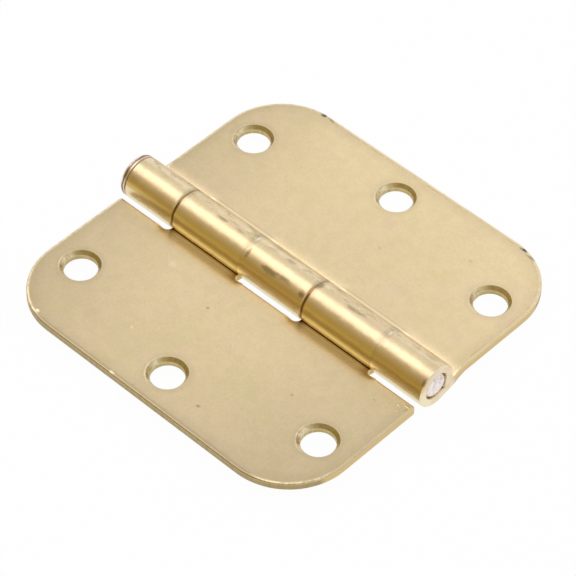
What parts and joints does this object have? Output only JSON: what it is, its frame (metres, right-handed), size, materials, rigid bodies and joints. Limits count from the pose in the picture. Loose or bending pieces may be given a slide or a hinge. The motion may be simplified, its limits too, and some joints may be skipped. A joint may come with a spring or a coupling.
{
  "type": "round corner door hinge",
  "caption": "Butt hinge for a door: two folded leaves with round outer corners and countersunk screw holes on a loose pin with a button head.",
  "frame": {"origin": "middle of the bounding box in X and Y, on the plane of the barrel's lowest line; Y = 0 is also the pin's axis", "axes": "+X along the pin from its head towards its tip, +Y towards the outer edge of the leaf with three knuckles, +Z out of the leaves' countersunk faces; the hinge is stored lying open flat"},
  "size_m": [0.0908, 0.0888, 0.0105],
  "materials": {
    "leaf_plating": "satin",
    "pin_plating": "satin"
  },
  "bodies": {
    "leaf_three_knuckles": {"leaf_three_knuckles": "leaf_plating"},
    "leaf_two_knuckles": {"leaf_two_knuckles": "leaf_plating"},
    "hinge_pin": {"hinge_pin": "pin_plating"}
  },
  "joints": [
    {"name": "leaf_swing", "type": "hinge", "parent": "leaf_three_knuckles", "child": "leaf_two_knuckles", "pos_m": [0, 0, 0.00524], "axis": [1, 0, 0], "range_deg": [-183, 105]},
    {"name": "pin_pull", "type": "slide", "parent": "leaf_three_knuckles", "child": "hinge_pin", "axis": [-1, 0, 0], "range_m": [0, 0.09]}
  ]
}
